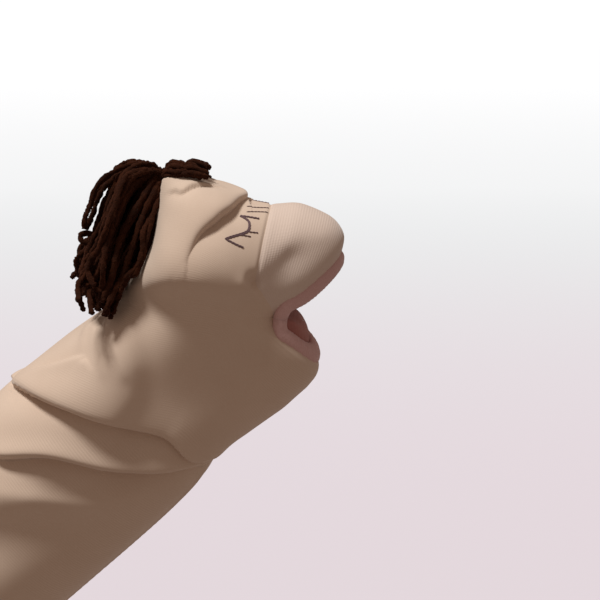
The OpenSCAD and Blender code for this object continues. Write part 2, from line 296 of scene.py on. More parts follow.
def fuller(x):
    """How far a section reaches at a cosine or sine x: fuller than an ellipse, and smooth through zero."""
    return np.abs(x) * ((x ** 2 + CORNER_EASE) / (1 + CORNER_EASE)) ** ((FULLNESS - 1) / 2)


def plain_skin(u, v):
    """The cloth without folds: station u, angle v in degrees, 90 on the puppet's right."""
    row = smooth_rows(STATIONS, u)
    v = np.radians(v)
    cos, sin = np.cos(v), np.sin(v)
    reach = fuller(cos)[..., None]
    middle = row[..., 2:4]
    end = np.where((cos >= 0)[..., None], row[..., 0:2], row[..., 4:6])
    side = middle + (end - middle) * reach
    across = -row[..., 6] * np.sign(sin) * fuller(sin)
    return np.stack([side[..., 0], across, side[..., 1]], -1)


def unit(a):
    return a / np.maximum(np.linalg.norm(a, axis=-1, keepdims=True), 1e-9)


def along(u, v):
    return unit(plain_skin(np.minimum(u + 0.1, RIM), v) - plain_skin(np.maximum(u - 0.1, 0), v))


def outward(u, v):
    return unit(np.cross(plain_skin(u, v + 1.5) - plain_skin(u, v - 1.5), along(u, v)))


# Folds, drawn as paths of [station, angle], each with its strength at each point.
# crease: the cloth above the path laps over the cloth below it. over and under are heights in mm.
CREASES = [
    dict(path=[(2.0, -8), (2.02, 4), (2.34, 42), (2.69, 69), (2.99, 86), (3.45, 110), (3.42, 136), (3.7, 158),
               (3.95, 180)],
         strength=[0.2, 0.5, 1, 1, 0.9, 0.7, 0.5, 0.3,
                   0.2], over=4.5, over_reach=16, under=5, under_reach=11, lap=4),
    dict(path=[(1.5, 40), (1.61, 56), (2.01, 76), (2.34, 96), (2.76, 118), (3.2, 142), (3.35, 150)],
         strength=[0, 0.8, 1, 1, 0.9, 0.5, 0], over=4.5, over_reach=9, under=6, under_reach=14, lap=2),
    dict(path=[(2.27, 12), (2.71, 26), (3.31, 40), (3.34, 44)],
         strength=[0, -0.9, -0.9, 0], over=2.0, over_reach=7, under=1.5, under_reach=6, lap=1),
    dict(path=[(11.3, 0), (11.15, 11), (10.75, 30), (10.1, 43), (9.6, 50), (9.05, 56), (8.65, 59.5),
               (8.4, 62)],
         strength=[-0.3, -0.75, -1, -1, -0.9, -0.5, -0.15, 0],
         over=2.8, over_reach=12, under=4.2, under_reach=9, lap=1.5, both=True),
    dict(path=[(8.75, 22), (9.05, 27), (9.7, 17), (10.2, 12)],
         strength=[0, 0.9, 0.9, 0], over=1.6, over_reach=5, under=2.6, under_reach=4, lap=1.5, both=True),
]
# ridge: a soft roll along the path, high in mm, with its reach in mm above and below the path
RIDGES = [
    dict(path=[(4.9, 2), (5.3, 13), (5.9, 27), (7.1, 51), (8.35, 68), (9.7, 76), (11.2, 77)],
         strength=[0, 0.4, 0.9, 1, 0.9, 0.7, 0], high=11, up=24, down=10, both=True),
    dict(path=[(3.7, 112), (4.8, 106), (6.5, 104), (9, 104), (12, 100), (13.5, 98)],
         strength=[0, 1, 1, 1, 0.6, 0],
         high=-11, up=40, down=34, both=True),
    dict(path=[(0.5, 76), (1.0, 84), (1.6, 100), (2.2, 122)], strength=[0.6, 1, 0.8, 0], high=-7, up=17,
         down=28),
    dict(path=[(13.8, 42), (13.3, 55), (12.85, 68), (12.3, 77)], strength=[0, 1, 0.8, 0], high=-3.8, up=15,
         down=7,
         both=True),
    dict(path=[(4.95, 24), (4.86, 38), (4.55, 53), (4.1, 68), (3.6, 78), (3.05, 84)],
         strength=[0, 0.7, 1, 1, 0.8, 0],
         high=5, up=8, down=22),
    dict(path=[(1.2, 60), (1.55, 85), (2.0, 110), (2.6, 135)], strength=[0, 1, 0.8, 0], high=3, up=7,
         down=12),
    dict(path=[(3.9, 8), (3.69, 22), (3.3, 42)], strength=[0, 1, 0], high=2.2, up=4, down=4),
    dict(path=[(4.3, 10), (3.99, 24), (3.64, 54), (3.5, 62)], strength=[0, 1, 0.6, 0], high=2.2, up=4,
         down=4),
    dict(path=[(4.7, 18), (4.5, 32), (4.0, 64), (3.9, 70)], strength=[0, 1, 0.6, 0], high=2.2, up=4, down=4),
    dict(path=[(4.9, 30), (4.62, 44), (4.3, 62), (4.2, 70)], strength=[0, 1, 0.5, 0], high=2.0, up=4, down=4),
    dict(path=[(0.3, 168), (1, 168), (2, 168), (3, 165), (3.8, 160)], strength=[0.8, 1, 1, 1, 0],
         high=1.0, up=2.8, down=2.8),
    dict(path=[(12, 0), (11.95, 30), (11.9, 51), (11.88, 69)], strength=[1, 1, 1, 1],
         high=-0.9, up=1.2, down=1.2, both=True),
]
# bump: a round swelling, or a hollow where high is below zero
BUMPS = [
    dict(at=(3.25, 60), high=4, reach=24),
    dict(at=(12.7, 0), high=2.2, reach=14),
    dict(at=(11.7, 71), high=-4.5, reach=4, both=True),
    dict(at=(11.2, 74), high=1.5, reach=5, both=True),
    dict(at=(10.0, 0), high=-3, reach=14),
    dict(at=(8.6, 0), high=5, reach=13),
    dict(at=(9.6, 38), high=2.0, reach=14, both=True),
    dict(at=(4.1, 180), high=-2, reach=12),
]
FAR_SIDE_FOLDS = [
    dict(path=[(2.0, 8), (2.02, -4), (2.5, -45), (2.8, -80), (3.3, -115), (3.5, -150)],
         strength=[0, 0.4, 0.9, 1, 0.8, 0], over=4, over_reach=15, under=4, under_reach=11, lap=-3),
    dict(path=[(1.2, -50), (1.6, -80), (2.3, -115), (2.9, -145)],
         strength=[0, 1, 0.9, 0], over=3, over_reach=9, under=4, under_reach=12, lap=-2),
]


def draw_path(path, strength, steps=90):
    """The path on the plain cloth: points, headings, side directions and strength."""
    x = np.linspace(0, len(path) - 1, steps)
    places = smooth_rows(np.array(path, float), x)
    points = plain_skin(places[:, 0], places[:, 1])
    heading = unit(np.gradient(points, axis=0))
    side = unit(np.cross(outward(places[:, 0], places[:, 1]), heading))
    power = np.interp(x, np.arange(len(path)), np.array(strength, float))
    return points, heading, side, power


POWER_BLUR = 6.0


def near_path(points, drawn):
    """Signed distance of points from a drawn path, the side direction there, and its strength."""
    line, heading, side, power = drawn
    square = ((points[:, None, :] - line[None]) ** 2).sum(-1)
    nearest = np.argmin(square, axis=1)
    weight = np.exp(-(square - square.min(1, keepdims=True)) / (2 * POWER_BLUR ** 2))
    soft_power = (weight * power).sum(1) / weight.sum(1)
    gap = points - line[nearest]
    step = np.einsum("ij,ij->i", gap, heading[nearest])
    spacing = np.linalg.norm(line[1] - line[0])
    slip = np.clip(step, -spacing, spacing)
    inside = gap - heading[nearest] * slip[:, None]
    length = np.linalg.norm(inside, axis=1)
    sign = np.sign(np.einsum("ij,ij->i", inside, side[nearest]))
    return sign * length, side[nearest], soft_power


SOFT_MAX = 14


def ridge_height(points, drawn, up, down):
    """How much of a ridge's height each point has: 1 on its crest, smoothly less away from it."""
    line, _, side, power = drawn
    gap = points[:, None, :] - line[None]
    away = np.einsum("ijk,jk->ij", gap, side)
    reach = (up + down) / 2 + (up - down) / 2 * np.tanh(away / 4)
    each = power * np.exp(-(gap ** 2).sum(-1) / reach ** 2)
    spacing = np.linalg.norm(np.diff(line, axis=0), axis=1).mean()
    alike = max(1.0, min(up, down) * math.sqrt(math.pi / SOFT_MAX) / spacing)
    return ((np.maximum(each, 0) ** SOFT_MAX).sum(1) / alike) ** (1 / SOFT_MAX)


def both_sides(items):
    for item in items:
        yield item, 1
        if item.get("both"):
            yield item, -1


def mirrored(path, way):
    return [(u, v * way) for u, v in path]


CREASE_STEPS = 220
EDGE_ROLL = 1.3
UNDER_FALL = 1.5
LAP_REACH = 7


def folded(u, v):
    """The cloth with its folds: points in mm in the arm's axes."""
    shape = u.shape
    u, v = u.ravel(), v.ravel()
    base = plain_skin(u, v)
    normal = outward(u, v)
    lift = np.zeros(len(u))
    slide = np.zeros((len(u), 3))
    for item, way in both_sides(CREASES + FAR_SIDE_FOLDS):
        drawn = draw_path(mirrored(item["path"], way), item["strength"], CREASE_STEPS)
        d, side, power = near_path(base, drawn)
        d = d * np.sign(item["strength"][len(item["strength"]) // 2]) * way
        power = np.abs(power)
        above = np.maximum(d, 0)
        below = np.maximum(-d, 0)
        roll = 1 - np.exp(-above / EDGE_ROLL)
        over = -item["under"] + (item["under"] + item["over"]) * roll
        over = np.where(d > 0, over * np.exp(-(above / item["over_reach"]) ** 2), 0)
        under = np.where(d <= 0, -item["under"] * np.exp(-(below / item["under_reach"]) ** UNDER_FALL), 0)
        lift += power * (over + under)
        lap = item["lap"] * np.where(d > 0, roll * np.exp(-above / LAP_REACH), 0)
        direction = np.sign(drawn[3][len(drawn[3]) // 2]) * way
        slide -= (power * lap * direction)[:, None] * side
    for item, way in both_sides(RIDGES):
        drawn = draw_path(mirrored(item["path"], way), item["strength"])
        up, down = (item["up"], item["down"]) if way > 0 else (item["down"], item["up"])
        lift += item["high"] * ridge_height(base, drawn, up, down)
    for item, way in both_sides(BUMPS):
        centre = plain_skin(np.array([item["at"][0]]), np.array([item["at"][1] * way]))[0]
        distance = np.linalg.norm(base - centre, axis=1)
        lift += item["high"] * np.exp(-(distance / item["reach"]) ** 2)
    return (base + normal * lift[:, None] + slide).reshape(shape + (3,))


# ---------------------------------------------------------------- mesh making
def mesh_object(name, points, faces, material):
    mesh = bpy.data.meshes.new(name)
    mesh.from_pydata([tuple(p) for p in points], [], [tuple(int(i) for i in f) for f in faces])
    mesh.update()
    mesh.polygons.foreach_set("use_smooth", np.full(len(mesh.polygons), True))
    made = bpy.data.objects.new(name, mesh)
    bpy.context.scene.collection.objects.link(made)
    made.data.materials.append(material)
    return made


def grid_faces(rows, columns, first=0):
    i, j = np.meshgrid(np.arange(rows - 1), np.arange(columns - 1), indexing="ij")
    a = first + i * columns + j
    return np.stack([a, a + 1, a + columns + 1, a + columns], -1).reshape(-1, 4)


def lay_uv(piece, flat):
    """Gives a piece its places on the flat cloth, one for each of its points, in metres."""
    corners = np.array([corner.vertex_index for corner in piece.data.loops])
    layer = piece.data.uv_layers.new(name="cloth")
    layer.data.foreach_set("uv", flat[corners].astype(np.float32).ravel())


def border_walls(faces, count):
    """Faces that close the gap between a sheet and its copy count points further on."""
    edges = np.concatenate([faces[:, [k, (k + 1) % 4]] for k in range(4)])
    marks = set(map(tuple, edges.tolist()))
    border = np.array([e for e in edges.tolist() if (e[1], e[0]) not in marks])
    return np.stack([border[:, 1], border[:, 0], border[:, 0] + count, border[:, 1] + count], -1)


CLOTH_THICKNESS = 1.2


def cloth_piece(name, grids, material):
    """A sheet of cloth from grids of (station, angle), joined where they meet, ready to be given thickness.
    """
    points, uvs, faces = [], [], []
    first = 0
    for u, v in grids:
        outer = folded(u, v)
        base = plain_skin(u, v)
        down = np.cumsum(np.linalg.norm(np.diff(base, axis=0, prepend=base[:1]), axis=-1), axis=0)
        across = np.cumsum(np.linalg.norm(np.diff(base, axis=1, prepend=base[:, :1]), axis=-1), axis=1)
        across -= across[:, across.shape[1] // 2][:, None]
        points.append(outer.reshape(-1, 3))
        uvs.append(np.stack([across, down], -1).reshape(-1, 2) * MM)
        faces.append(grid_faces(*u.shape, first))
        first += u.size
    points, uvs, faces = np.concatenate(points), np.concatenate(uvs), np.concatenate(faces)
    key = np.round(points, 4)
    _, keep, back = np.unique(key, axis=0, return_index=True, return_inverse=True)
    back = back.ravel()
    points, faces = points[keep], back[faces]
    corner_uv = uvs[np.concatenate([grid_faces(*u.shape, f) for (u, v), f in
                                    zip(grids, np.cumsum([0] + [g[0].size for g in grids[:-1]]))]).ravel()]
    normals = vertex_normals(points, faces)
    return points, faces, normals, corner_uv, name, material


def vertex_normals(points, faces):
    a, b, c, d = (points[faces[:, k]] for k in range(4))
    face_normal = np.cross(c - a, d - b)
    normals = np.zeros_like(points)
    for k in range(4):
        np.add.at(normals, faces[:, k], face_normal)
    return normals


def finish_cloth(pieces):
    """Makes the cloth pieces, with one shading across the places where they meet."""
    shared = {}
    for points, _, normals, *_ in pieces:
        for key, normal in zip(map(tuple, np.round(points, 3)), normals):
            shared[key] = shared.get(key, 0) + normal
    made = {}
    for points, faces, normals, corner_uv, name, material in pieces:
        normals = unit(np.array([shared[key] for key in map(tuple, np.round(points, 3))]))
        count = len(points)
        inner = points - normals * CLOTH_THICKNESS
        walls = border_walls(faces, count)
        inside = faces[:, ::-1] + count
        every = np.concatenate([faces, inside, walls])
        degenerate = np.array([len(set(f)) < 3 for f in every.tolist()])
        solid = to_row(np.concatenate([points, inner]))
        piece = mesh_object(name, solid, every[~degenerate], material)
        uv = piece.data.uv_layers.new(name="cloth")
        wall_uv = np.zeros((len(walls) * 4, 2))
        inside_uv = corner_uv.reshape(-1, 4, 2)[:, ::-1].reshape(-1, 2)
        all_uv = np.concatenate([corner_uv, inside_uv, wall_uv]).reshape(-1, 4, 2)[~degenerate]
        uv.data.foreach_set("uv", all_uv.astype(np.float32).ravel())
        turned = to_row(normals) / MM
        corner_normals = np.concatenate([turned[faces].reshape(-1, 3), -turned[faces[:, ::-1]].reshape(-1, 3),
                                         np.zeros((len(walls) * 4, 3))])
        corner_normals = corner_normals.reshape(-1, 4, 3)[~degenerate].reshape(-1, 3)
        piece.data.normals_split_custom_set([tuple(n) for n in corner_normals])
        made[name] = piece
    return made


# ---------------------------------------------------------------- cloth pieces
COLUMN_STEP = 1.25
SLEEVE_START = 0.35


def angles(low, high):
    return np.linspace(low, high, int(round((high - low) / COLUMN_STEP)) + 1)


def edge(places, v):
    """The station of a boundary at the angles v, the same on both sides."""
    places = np.array(places, float)
    smooth = smooth_rows(places, np.linspace(0, len(places) - 1, 200))
    return np.interp(np.abs(v), smooth[:, 1], smooth[:, 0])


SLEEVE_END = [(2.0, -8), (2.02, 4), (2.34, 42), (2.69, 69), (2.99, 86), (3.45, 110), (3.42, 136), (3.3, 158),
              (3.2, 180)]
BROW = [(11.3, -6), (11.3, 0), (11.15, 11), (10.75, 30), (10.1, 43), (9.6, 50), (9.05, 56), (8.65, 59.5),
        (8.4, 62),
        (8.3, 76), (8.3, 90)]
SNOUT_SEAM = [(12, -6), (12, 0), (11.95, 30), (11.9, 51), (11.88, 69), (12.4, 76), (13.8, 84), (15.9, 90)]


def spaced(count, ease):
    """Numbers from 0 to 1, closer together at both ends."""
    x = np.linspace(0, 1, count)
    return (1 - ease) * x + ease * (3 * x ** 2 - 2 * x ** 3)


def between(low, high, spacing):
    """A grid of stations between two boundaries, one row for each number in spacing."""
    return low[None] + (high - low)[None] * spacing[:, None]


def cloth_grids():
    around = angles(-180, 180)
    top = angles(-90, 90)
    sleeve_u = between(np.full_like(around, SLEEVE_START), edge(SLEEVE_END, around), spaced(120, 0.5))
    start, brow, seam = edge(SLEEVE_END, top), edge(BROW, top), edge(SNOUT_SEAM, top)
    head_u = np.concatenate([between(start, brow, spaced(110, 0.6)),
                             between(brow, seam, spaced(48, 0.6))[1:]])
    jowl_row = int(np.argmin(np.abs(head_u[:, 0] - JOWL)))
    jowl = head_u[jowl_row, 0]
    snout_u = between(seam, np.full_like(seam, RIM), spaced(44, 0.2))
    under = angles(90, 270)
    low = edge(SLEEVE_END, 180 - np.abs(under - 180))
    neck_part = (head_u[:jowl_row + 1, 0] - head_u[0, 0]) / (jowl - head_u[0, 0])
    neck_u = between(low, np.full_like(low, jowl), neck_part)
    throat_part = (head_u[jowl_row:, 0] - jowl) / (head_u[-1, 0] - jowl)
    throat_u = between(np.full_like(low, jowl), np.full_like(low, RIM), throat_part)

    def with_angles(u, v):
        return u, np.broadcast_to(v[None], u.shape)
    return {
        "sleeve": [with_angles(sleeve_u, around)],
        "head": [with_angles(head_u, top), with_angles(neck_u, under)],
        "snout": [with_angles(snout_u, top)],
        "throat": [with_angles(throat_u, under)],
    }


def make_cloth():
    grids = cloth_grids()
    made = finish_cloth([
        cloth_piece("sleeve_cloth", grids["sleeve"], KNIT),
        cloth_piece("head_cloth", grids["head"], KNIT),
        cloth_piece("snout_cloth", grids["snout"], SNOUT_KNIT),
        cloth_piece("throat_cloth", grids["throat"], KNIT)])
    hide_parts("sleeve_right_panel", "sleeve_left_panel", "sleeve_middle")
    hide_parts("forearm_right_panel", "forearm_left_panel", "neck_gusset",
                "head_back_panel",
                "forehead_panel", "eye_panel", "cheek_right_panel", "cheek_left_panel")
    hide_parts("snout_panel")
    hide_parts("throat_panel", "chin_panel")
    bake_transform(made["sleeve_cloth"])
    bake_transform(made["head_cloth"])
    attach(made["snout_cloth"], "head")
    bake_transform(made["throat_cloth"])
    return made


# ---------------------------------------------------------------- mouth
LIP_WIDE = 5.0
LIP_THICK = 3.4
LIP_TUCK = 1.2
CORNER_BLUR = 6.0
CORNER_BACK = 3.0
CORNER_SPREAD = 14
LOOP = np.linspace(-90, 270, 361)


def blurred(rows, length, blur):
    """Rows of a closed loop, each averaged with its neighbours within blur mm."""
    total = length[-1]
    gap = np.abs(length[:-1, None] - length[None, :-1])
    gap = np.minimum(gap, total - gap)
    weight = np.exp(-gap ** 2 / (2 * blur ** 2))
    mean = weight @ rows[:-1] / weight.sum(1, keepdims=True)
    return np.concatenate([mean, mean[:1]])


def lip_loop():
    """The middle of the rolled lips all round the mouth, with directions along the cloth and out of it."""
    edge_u = np.full_like(LOOP, RIM)
    onward, out = along(edge_u, LOOP), outward(edge_u, LOOP)
    middle = folded(edge_u, LOOP) + onward * (LIP_WIDE - LIP_TUCK) - out * 0.6
    length = np.concatenate([[0], np.cumsum(np.linalg.norm(np.diff(middle, axis=0), axis=1))])
    corner = sum(np.exp(-((LOOP - at) / CORNER_SPREAD) ** 2) for at in (90, -90, 270))
    middle, onward = blurred(middle, length, CORNER_BLUR), unit(blurred(onward, length, CORNER_BLUR))
    middle = middle - onward * (CORNER_BACK * corner)[:, None]
    heading = unit(np.gradient(middle, axis=0))
    out = unit(np.cross(heading, onward))
    return middle, np.cross(out, heading), out


LIP_LOOP = lip_loop()


def lip_frame(v):
    return [np.stack([np.interp(v, LOOP, rows[:, k]) for k in range(3)], -1) for rows in LIP_LOOP]


def make_lip(name, start, end):
    """A lip: jersey rolled over a cord, sewn to the face along its edge."""
    v = np.linspace(start, end, 220)
    middle, onward, out = lip_frame(v)
    turn = np.linspace(0, 2 * math.pi, 28, endpoint=False)
    pucker = 1 + 0.035 * np.sin(v * 0.55)[:, None] * np.cos(turn * 2)[None]
    pucker += 0.02 * np.sin(v[:, None] * 1.7 + 2 * turn[None])
    fullness = 1 + 0.25 * np.exp(-((v - 180) / 45) ** 2)[:, None]
    wide = LIP_WIDE * pucker * fullness * np.cos(turn)[None]
    thick = LIP_THICK * pucker * np.sin(turn)[None]
    rings = middle[:, None] + onward[:, None] * wide[..., None] + out[:, None] * thick[..., None]
    lip = many_tubes(name, [rings], LIP_CLOTH)
    length = np.concatenate([[0], np.cumsum(np.linalg.norm(np.diff(rings.mean(1), axis=0), axis=1))])
    girth = np.linalg.norm(rings[0, 1] - rings[0, 0]) * np.arange(len(turn))
    lay_uv(lip, np.stack([np.tile(girth, len(v)), np.repeat(length, len(turn))], -1) * MM)
    return lip


def make_lining(name, start, end, cushion):
    """A face of the mouth: lining stretched over its board from the lip back to the hinge."""
    v = np.linspace(start, end, 97)
    middle, onward, out = lip_frame(v)
    lip = middle + onward * (LIP_WIDE * 0.55) - out * (LIP_THICK * 0.6)
    fold = np.stack([np.full_like(v, HINGE_ARM[0]), lip[:, 1] * 0.84, np.full_like(v, HINGE_ARM[2])], -1)
    s = np.linspace(0, 1, 33)[:, None, None]
    face = lip[None] * (1 - s) + fold[None] * s
    way = unit(np.cross(fold[0] - fold[-1], lip[len(v) // 2] - fold[len(v) // 2]))
    way = way * np.sign(way @ np.array([1.0, 0.0, -1.0]))
    across = np.sin(np.linspace(0, math.pi, len(v)))[None, :, None]
    gathers = 0.35 * np.sin(np.radians(v * 7))[None, :, None] * s
    soft = np.sin(np.pi * s) * (0.5 + cushion * across ** 0.5 + gathers)
    face = face + way * soft
    under = face - way * 0.8
    rows, columns = face.shape[:2]
    points = np.concatenate([face.reshape(-1, 3), under.reshape(-1, 3)])
    faces = grid_faces(rows, columns)
    inside = faces[:, ::-1] + rows * columns
    loop = border_walls(faces, rows * columns)
    made = mesh_object(name, to_row(points), np.concatenate([faces, inside, loop]), MOUTH_CLOTH)
    lay_uv(made, np.stack([points[:, 1], points[:, 0] - points[:, 2]], -1) * MM)
    return made


def make_mouth():
    upper = make_lip("upper_lip_roll", -90, 90)
    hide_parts("upper_lip", "lip_corners")
    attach(upper, "head")
    lower = make_lip("lower_lip_roll", 90, 270)
    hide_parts("lower_lip")
    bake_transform(lower)
    palate = make_lining("palate_cloth", -90, 90, 1.5)
    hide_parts("palate_lining", "mouth_fold")
    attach(palate, "head")
    floor_of_mouth = make_lining("jaw_cloth", 90, 270, 6.5)
    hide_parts("jaw_lining")
    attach(floor_of_mouth, "jaw")
    return palate, floor_of_mouth


# ---------------------------------------------------------------- eyes
EYE_LID = [(10.25, 54), (10.7, 50), (11.08, 46), (11.3, 42.5), (11.38, 38.5), (11.35, 33), (11.1, 30)]
EYE_LASHES = [[(10.3, 54), (10.7, 54.5), (11.12, 54.5)], [(10.98, 47.3), (11.45, 45.0)],
              [(11.2, 43.2), (11.68, 40.0)],
              [(11.1, 30), (11.4, 28.5), (11.68, 27)]]
STITCH = 2.6
STITCH_POINTS = 9
LID_THREAD = 0.31
LASH_THREAD = 0.34
TOP_LASH_THREAD = 0.28


def stitched_line(path, way, radius, rows):
    """Backstitches of thread along a path on the cloth: rings of one tube for each stitch."""
    places = smooth_rows(np.array(mirrored(path, way), float), np.linspace(0, len(path) - 1, 120))
    points = folded(places[:, 0], places[:, 1])
    out = outward(places[:, 0], places[:, 1])
    side = unit(np.cross(out, unit(np.gradient(points, axis=0))))
    length = np.concatenate([[0], np.cumsum(np.linalg.norm(np.diff(points, axis=0), axis=1))])
    stitches = []
    for row in range(rows):
        offset = (row - (rows - 1) / 2) * radius * 1.5
        starts = np.arange(-0.4 * STITCH * (row % 2), length[-1] - 0.8, STITCH * 0.8)
        for start in starts:
            x = np.clip(np.linspace(start, start + STITCH, STITCH_POINTS), 0, length[-1])
            if x[-1] - x[0] < 0.6:
                continue
            at = np.stack([np.interp(x, length, points[:, k]) for k in range(3)], -1)
            up = np.stack([np.interp(x, length, out[:, k]) for k in range(3)], -1)
            across = np.stack([np.interp(x, length, side[:, k]) for k in range(3)], -1)
            hump = np.sin(np.linspace(0, math.pi, STITCH_POINTS))
            middle = at + across * offset + up * (radius * (0.2 + 0.7 * hump))[:, None]
            size = radius * (0.45 + 0.55 * hump ** 0.5)
            turn = np.linspace(0, 2 * math.pi, 8, endpoint=False)
            stitches.append(middle[:, None] + size[:, None, None] * (
                across[:, None] * np.cos(turn)[None, :, None] + up[:, None] * np.sin(turn)[None, :, None]))
    return stitches


def many_tubes(name, tubes, material):
    """One mesh of many closed tubes, each a ring array in the arm's axes."""
    points, faces, first = [], [], 0
    for rings in tubes:
        count, sides = rings.shape[:2]
        i, k = np.meshgrid(np.arange(count - 1), np.arange(sides), indexing="ij")
        a, b = first + i * sides + k, first + i * sides + (k + 1) % sides
        faces += np.stack([a, b, b + sides, a + sides], -1).reshape(-1, 4).tolist()
        faces.append([first + k for k in range(sides)][::-1])
        faces.append([first + (count - 1) * sides + k for k in range(sides)])
        points.append(rings.reshape(-1, 3))
        first += count * sides
    return mesh_object(name, to_row(np.concatenate(points)), faces, material)


TOP_LASHES = [[(11.3, 16), (11.62, 12.5), (11.92, 9)], [(11.3, 23.5), (11.65, 19), (11.93, 16)]]


def make_eyes():
    eyes = []
    for node_name, way in (("right_eye", 1), ("left_eye", -1)):
        stitches = stitched_line(EYE_LID, way, LID_THREAD, 3)
        for lash in EYE_LASHES:
            stitches += stitched_line(lash, way, LASH_THREAD, 1 if len(lash) == 2 else 2)
        for lash in TOP_LASHES:
            stitches += stitched_line(lash, way, TOP_LASH_THREAD, 1)
        eye = many_tubes("sewn_" + node_name, stitches, EYE_THREAD)
        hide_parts(node_name)
        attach(eye, "head")
        eyes.append(eye)
    return eyes


# ---------------------------------------------------------------- hair
YARN_R = 1.5
random = np.random.default_rng(7)


def yarn(route, radius=YARN_R, wobble=1.0, lumps=0.3):
    """Rings of a chenille strand along a route in the row frame, in mm, lumpy as its pile turns."""
    route = np.array(route, float)
    fine = smooth_rows(route, np.linspace(0, len(route) - 1, 60))
    length = np.linalg.norm(np.diff(fine, axis=0), axis=1).sum()
    count = max(8, int(length / 1.1))
    middle = smooth_rows(route, np.linspace(0, len(route) - 1, count))
    drift = random.normal(0, wobble, (5, 3))
    drift[0] = 0
    middle = middle + smooth_rows(drift, np.linspace(0, 4, count))
    heading = unit(np.gradient(middle, axis=0))
    first = unit(np.cross(heading, np.array([0.3, 1.0, 0.2])))
    second = np.cross(heading, first)
    sides = 10
    turn = np.linspace(0, 2 * math.pi, sides, endpoint=False)
    twist = np.linspace(0, length / 5 * 2 * math.pi / 3, count) + random.uniform(0, 6)
    swell = 1 + 0.1 * np.sin(twist * 2)[:, None] + random.uniform(-lumps, lumps, (count, sides))
    taper = np.minimum(1, np.minimum(np.arange(count) + 1.2, count - np.arange(count) + 0.2) / 2.6) ** 0.5
    size = radius * swell * taper[:, None]
    return middle[:, None] + size[..., None] * (first[:, None] * np.cos(turn)[None, :, None]
                                                + second[:, None] * np.sin(turn)[None, :, None])


# How far the hank has fanned out at each point down its length
HANK_FAN = np.array([0.04, 0.16, 0.5, 0.85, 1.0, 1.0, 0.98])


def hank_strands():
    """The strands down the back of the head, from the outermost layer to the one on the cloth."""
    layers = [
        (19, [(0, 1), (-8, 5), (-21, 3), (-29, -12), (-38, -34), (-47, -50), (-47, -58)], 40, 51),
        (20, [(0, 0), (-8, 3), (-20, -1), (-29, -20), (-37, -42), (-45, -57), (-44, -66)], 41, 51),
        (20, [(0, -1), (-7, 1), (-18, -6), (-28, -26), (-36, -46), (-40, -62), (-39, -70)], 41, 51),
        (19, [(0, -2), (-6, -2), (-14, -13), (-23, -33), (-31, -51), (-36, -65), (-35, -73)], 41, 51),
        (18, [(1, -3), (-4, -5), (-9, -17), (-16, -36), (-24, -52), (-31, -66), (-32, -73)], 39, 49),
        (18, [(2, -4), (0, -9), (-3, -20), (-8, -36), (-15, -49), (-23, -60), (-28, -68)], 38, 48),
    ]
    strands = []
    for count, outline, spread_middle, spread_end in layers:
        for i in range(count):
            across = np.clip((i + random.uniform(-0.4, 0.4) - (count - 1) / 2) / ((count - 1) / 2), -1, 1)
            bend = 1 - 0.14 * across ** 2
            shorter = random.uniform(0.84, 1.03)
            sway = random.normal(0, 2.6, len(outline)) * np.linspace(0, 1.3, len(outline))
            stray = random.normal(0, 1.7, (len(outline), 2)) * np.linspace(0, 1.2, len(outline))[:, None]
            fan = HANK_FAN * spread_middle
            fan[-1] = spread_end
            route = [(KNOT[0] + x * bend * (0.5 + 0.5 * shorter) + stray[k, 0], across * fan[k] + sway[k],
                      KNOT[2] + z * (bend if z > 0 else shorter) + stray[k, 1])
                     for k, (x, z) in enumerate(outline)]
            strands.append(route)
    return strands


STRAYS = [
    [(0, 0, 0), (-8, -3, 6), (-20, -10, 6), (-33, -16, -2), (-39, -20, -14), (-42, -22, -20),
     (-43, -22, -27)],
    [(0, 0, 0), (-8, -2, 5), (-22, -6, 3), (-33, -12, -7), (-38, -15, -20), (-42, -16, -28)],
    [(0, 1, 0), (-9, 3, 6), (-22, 8, 6), (-35, 14, -6), (-42, 18, -18)],
    [(-36, -20, -30), (-42, -22, -29), (-44, -23, -32), (-42, -22, -35), (-36, -21, -35)],
]


def fringe_loops():
    """Short loops of yarn that lie forward over the crown in two layers."""
    loops = []
    for across in np.linspace(-1, 1, 9):
        y = 13 * across
        reach = random.uniform(0.92, 1.06)
        low = 1.5 + 3.2 * across ** 2
        loops.append([(2, y * 0.2, 2), (5, y * 0.6, 8.5 - low), (10, y, 8.5 - low), (13, y, 7.5 - low),
                      (17, y * 1.1, 9 - low), (22 * reach, y * 1.1, 7.5 - low), (25 * reach, y, 5.5 - low)])
    for across in np.linspace(-1, 1, 9):
        y = 14 * across
        low = 1.0 + 3.0 * across ** 2
        loops.append([(1, y * 0.2, 0), (6, y * 0.7, 5.5 - low), (12, y, 6.4 - low), (18, y * 1.05, 6.2 - low),
                      (24 * random.uniform(0.92, 1.04), y * 1.05, 4.6 - low)])
    return loops


def at_knot(route):
    return [(KNOT[0] + x, y, KNOT[2] + z) for x, y, z in route]


